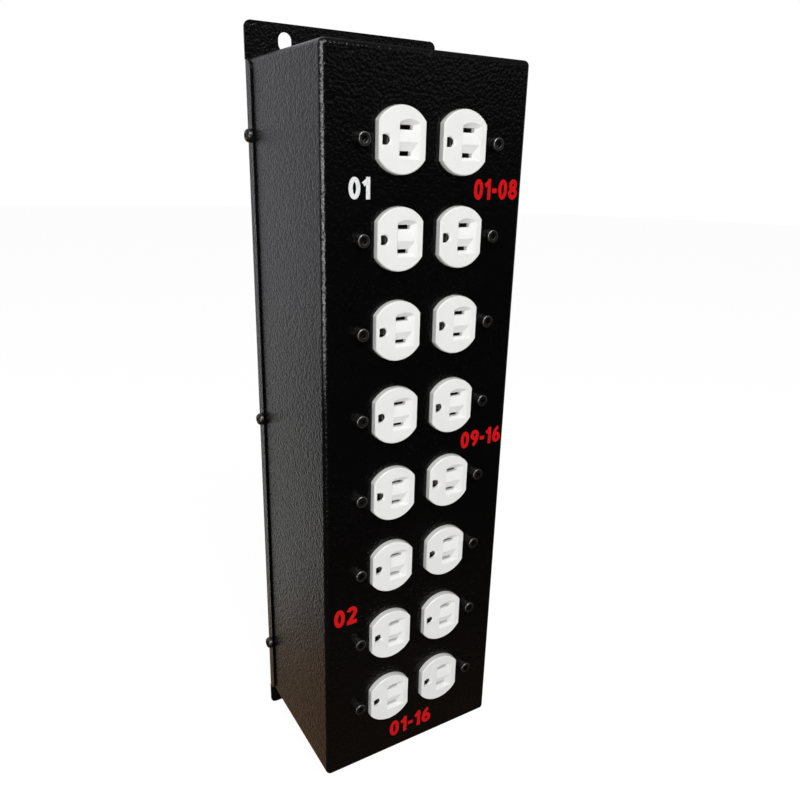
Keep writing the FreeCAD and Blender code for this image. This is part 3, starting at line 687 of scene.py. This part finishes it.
class PDU_OT_panel_screws(Operator):
    """Sixteen socket cap screws beside the outlets."""
    bl_idname = "pdu.panel_screws"
    bl_label = "Panel screws"

    def execute(self, context):
        screws = context.scene.pdu_screws
        low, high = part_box("panel_screws")
        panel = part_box("front_cover")[0].y
        levels = row_levels()
        radius = levels[-1] - low.z
        height = panel - low.y
        shank = radius * CAP_SHANK
        rim = radius - screws.cap_rim
        rim_break = screws.cap_rim * CAP_RIM_BREAK
        flat = rim * CAP_FLAT
        profile = [
            (0, panel - high.y), (shank, panel - high.y), (shank, 0), (radius, 0),
            (radius, height - screws.cap_rim), (radius - rim_break, height - rim_break),
            (rim, height), (flat, height),
        ]
        template = socket_screw(profile, flat, screws.cap_socket, screws.socket_depth)
        turned = Matrix.Rotation(math.pi / 2, 4, "X")
        places = []
        for level in levels:
            for x in (low.x + radius, high.x - radius):
                places.append(Matrix.Translation((x, panel, level)) @ turned)
        bm = repeated(template, places)
        painted_light_and_shade = screw_rim_light_and_socket_shade(high.x - radius, levels[0], levels[0] - levels[1], radius, -low.y)
        finish = black_oxide("worn_oxide_steel", painted_light_and_shade)
        new_piece("cap_screws", bm, finish, ["panel_screws"])
        return {"FINISHED"}


class PDU_OT_side_screws(Operator):
    """Six dome screws through the side flanges."""
    bl_idname = "pdu.side_screws"
    bl_label = "Side screws"

    def execute(self, context):
        screws = context.scene.pdu_screws
        low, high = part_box("side_screws")
        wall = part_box("back_plate")[1].x
        radius = (high.y - low.y) / 2
        height = high.x - wall
        shank = radius * DOME_SHANK
        flat = radius * DOME_FLAT
        profile = [
            (0, -DOME_SHANK_LENGTH), (shank, -DOME_SHANK_LENGTH), (shank, 0), (radius, 0),
            (radius, height * DOME_SKIRT),
        ]
        for step in range(1, DOME_STEPS + 1):
            turn = math.pi / 2 * step / DOME_STEPS
            profile.append((flat + (radius - flat) * math.cos(turn),
                            height * (DOME_SKIRT + (1 - DOME_SKIRT) * math.sin(turn))))
        template = socket_screw(profile, flat, screws.dome_socket, screws.socket_depth)
        places = []
        for z in (low.z + radius, (low.z + high.z) / 2, high.z - radius):
            for side in (-1, 1):
                turned = Matrix.Rotation(side * math.pi / 2, 4, "Y")
                places.append(Matrix.Translation((side * wall, (low.y + high.y) / 2, z)) @ turned)
        bm = repeated(template, places)
        new_piece("dome_screws", bm, black_oxide(), ["side_screws"])
        return {"FINISHED"}


class PDU_OT_marks(Operator):
    """Plain numbers on the panel: the two circuits and the outlets that each one feeds."""
    bl_idname = "pdu.marks"
    bl_label = "Numbers"

    def execute(self, context):
        marks = context.scene.pdu_marks
        inks = {"white": print_ink("white_ink", marks.white), "red": print_ink("red_ink", marks.red)}
        for name, text, ink, x, z, width, height in PRINTED_NUMBERS:
            self.print_number(name, text, inks[ink], (x * MM, z * MM), (width * MM, height * MM))
        return {"FINISHED"}

    def print_number(self, name, text, ink, place, size):
        """Bold figures, fitted to a size and laid on the panel."""
        marks = bpy.context.scene.pdu_marks
        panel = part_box("front_cover")[0].y
        bm = bmesh.new()
        start = 0
        for figure in text:
            width, paths = FIGURES[figure]
            for level, path in enumerate(paths):
                shifted = [Vector((start + x, y)) for x, y in path]
                add_stroke(bm, shifted, marks.weight, 1 - STROKE_STEP * level)
            start += width + FIGURE_GAP
        bmesh.ops.recalc_face_normals(bm, faces=bm.faces)
        span = start - FIGURE_GAP
        bmesh.ops.translate(bm, verts=bm.verts, vec=(-span / 2, -0.5, 0))
        bmesh.ops.scale(bm, verts=bm.verts, vec=(size[0] / span, size[1], marks.thickness))
        upright = Matrix.Translation((place[0], panel, place[1])) @ Matrix.Rotation(math.pi / 2, 4, "X")
        bmesh.ops.transform(bm, matrix=upright, verts=bm.verts)
        new_piece(name, bm, ink)


class PDU_OT_inlet(Operator):
    """Power inlet in the bottom end, and its three prongs."""
    bl_idname = "pdu.inlet"
    bl_label = "Power inlet"

    def execute(self, context):
        bm = merged_copy("inlet_shell")
        round_edges(bm, sharp_edges(bm), INLET_EDGE, INLET_SEGMENTS)
        new_piece("inlet_housing", bm, inner_finish("black_plastic"), ["inlet_shell"])
        for pole in ("line", "neutral", "earth"):
            node = "inlet_%s_prong" % pole
            bm = merged_copy(node)
            round_edges(bm, sharp_edges(bm), INLET_EDGE, INLET_SEGMENTS)
            new_piece("%s_prong" % pole, bm, inner_finish("nickel"), [node])
        return {"FINISHED"}


class PDU_OT_inside(Operator):
    """Finishes of the working pieces inside the box."""
    bl_idname = "pdu.inside"
    bl_label = "Inner pieces"

    def execute(self, context):
        for name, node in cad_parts.items():
            for word, slot in INNER_FINISHES.items():
                if word in name:
                    for holder in node.material_slots:
                        holder.material = inner_finish(slot)
        return {"FINISHED"}


class PDU_OT_stage(Operator):
    """Pale floor, soft lamps, white surroundings and the camera."""
    bl_idname = "pdu.stage"
    bl_label = "Stage"

    def execute(self, context):
        scene = context.scene
        scene.view_settings.view_transform = "Standard"
        self.lay_floor()
        self.light_world()
        for name, direction, distance, size, setting in LAMPS:
            self.hang_lamp(name, direction, distance, size, getattr(scene.pdu_stage, setting))
        self.set_camera()
        return {"FINISHED"}

    def lay_floor(self):
        bm = bmesh.new()
        bmesh.ops.create_circle(bm, cap_ends=True, radius=FLOOR_RADIUS, segments=FLOOR_SEGMENTS)
        bmesh.ops.translate(bm, verts=bm.verts, vec=(0, 0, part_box("back_plate")[0].z))
        mesh = bpy.data.meshes.new("floor")
        bm.to_mesh(mesh)
        bm.free()
        tree = material_tree("pale_floor")
        grain = tree.noise(tree.place(), 30 * MM, detail=3)
        colour = tree.blend(grain, *FLOOR_TONES)
        paint = tree.node("ShaderNodeBsdfDiffuse", inputs={"Color": colour})
        white = tree.node("ShaderNodeEmission", inputs={"Color": WHITE, "Strength": 1.13})
        seen = tree.node("ShaderNodeLightPath", output="Is Camera Ray")
        mixed = tree.node("ShaderNodeMixShader", inputs={0: seen * 0.85, 1: paint, 2: white})
        tree.node("ShaderNodeOutputMaterial", inputs={"Surface": mixed})
        mesh.materials.append(tree.owner)
        floor = bpy.data.objects.new("floor", mesh)
        floor.visible_glossy = False
        bpy.context.scene.collection.objects.link(floor)

    def light_world(self):
        world = bpy.data.worlds.new("white_studio")
        bpy.context.scene.world = world
        tree = Tree(world)
        x, y, z = tree.axes(tree.node("ShaderNodeTexCoord", output="Generated"))
        behind = (y / (x * x + y * y + 0.0001) ** 0.5).ramp(0.84, 0.97) * 1.25
        left = (x * -1).ramp(0.30, 0.90) * 0.08
        right = x.ramp(0.80, 0.97) * 0.35
        above = z.ramp(0.25, 0.80) * 0.20
        table = 1 - z.ramp(-0.65, -0.53)
        path = tree.node("ShaderNodeLightPath").output.node.outputs
        camera = Socket(tree, path["Is Camera Ray"])
        mirrored = Socket(tree, path["Is Glossy Ray"]) + Socket(tree, path["Is Transmission Ray"])
        ambient = bpy.context.scene.pdu_stage.ambient
        soft = tree.node("ShaderNodeBackground", inputs={"Color": WHITE, "Strength": ambient})
        wall = tree.blend(z.ramp(-0.45, 0.0), *WALL_TONES)
        tone = tree.blend(table, wall, TABLE_TONE)
        level = behind.larger(left).larger(right).larger(above).larger(table * 0.30)
        room = tree.node("ShaderNodeBackground", inputs={"Color": tone, "Strength": level})
        white = tree.node("ShaderNodeBackground", inputs={"Color": WHITE, "Strength": 1.0})
        lit = tree.node("ShaderNodeMixShader", inputs={0: mirrored, 1: soft, 2: room})
        mixed = tree.node("ShaderNodeMixShader", inputs={0: camera, 1: lit, 2: white})
        tree.node("ShaderNodeOutputWorld", inputs={"Surface": mixed})

    def hang_lamp(self, name, direction, distance, size, power):
        lamp = bpy.data.lights.new(name, "AREA")
        lamp.shape = "RECTANGLE"
        lamp.size, lamp.size_y = size
        lamp.energy = power
        holder = bpy.data.objects.new(name, lamp)
        away = Vector(direction).normalized()
        holder.location = BOX_MIDDLE + away * distance
        holder.rotation_euler = away.to_track_quat("Z", "Y").to_euler()
        bpy.context.scene.collection.objects.link(holder)

    def set_camera(self):
        """Camera in front on the left, above the box's middle, with a slight roll."""
        back = CAMERA_RIGHT.cross(CAMERA_UP)
        turn = Matrix((CAMERA_RIGHT, CAMERA_UP, back)).transposed().to_4x4()
        lens = bpy.data.cameras.new("camera")
        lens.sensor_width = SENSOR_WIDTH
        lens.lens = bpy.context.scene.pdu_stage.lens
        lens.clip_start = NEAR_CLIP
        camera = bpy.data.objects.new("camera", lens)
        camera.matrix_world = Matrix.Translation(CAMERA_PLACE) @ turn
        bpy.context.scene.collection.objects.link(camera)
        bpy.context.scene.camera = camera


OPERATORS = (
    PDU_OT_cover, PDU_OT_plate, PDU_OT_faces, PDU_OT_panel_screws, PDU_OT_side_screws,
    PDU_OT_marks, PDU_OT_inlet, PDU_OT_inside, PDU_OT_stage,
)

SETTINGS = {
    "pdu_coat": CoatSettings,
    "pdu_face": FaceSettings,
    "pdu_screws": ScrewSettings,
    "pdu_marks": MarkSettings,
    "pdu_stage": StageSettings,
}


class PDU_PT_pieces(Panel):
    """Lists the pieces and the stage in the sidebar."""
    bl_label = "Power unit"
    bl_idname = "PDU_PT_pieces"
    bl_space_type = "VIEW_3D"
    bl_region_type = "UI"
    bl_category = "Power unit"

    def draw(self, context):
        for operator in OPERATORS:
            self.layout.operator(operator.bl_idname)
        for name, group in SETTINGS.items():
            column = self.layout.column()
            column.label(text=group.__doc__)
            for key in group.__annotations__:
                column.prop(getattr(context.scene, name), key)


CLASSES = tuple(SETTINGS.values()) + OPERATORS + (PDU_PT_pieces,)


def register():
    for each in CLASSES:
        bpy.utils.register_class(each)
    for name, group in SETTINGS.items():
        setattr(bpy.types.Scene, name, PointerProperty(type=group))


def unregister():
    for name in SETTINGS:
        delattr(bpy.types.Scene, name)
    for each in reversed(CLASSES):
        bpy.utils.unregister_class(each)


def main():
    register()
    for operator in OPERATORS:
        group, name = operator.bl_idname.split(".")
        getattr(getattr(bpy.ops, group), name)()


if __name__ == "__main__":
    main()
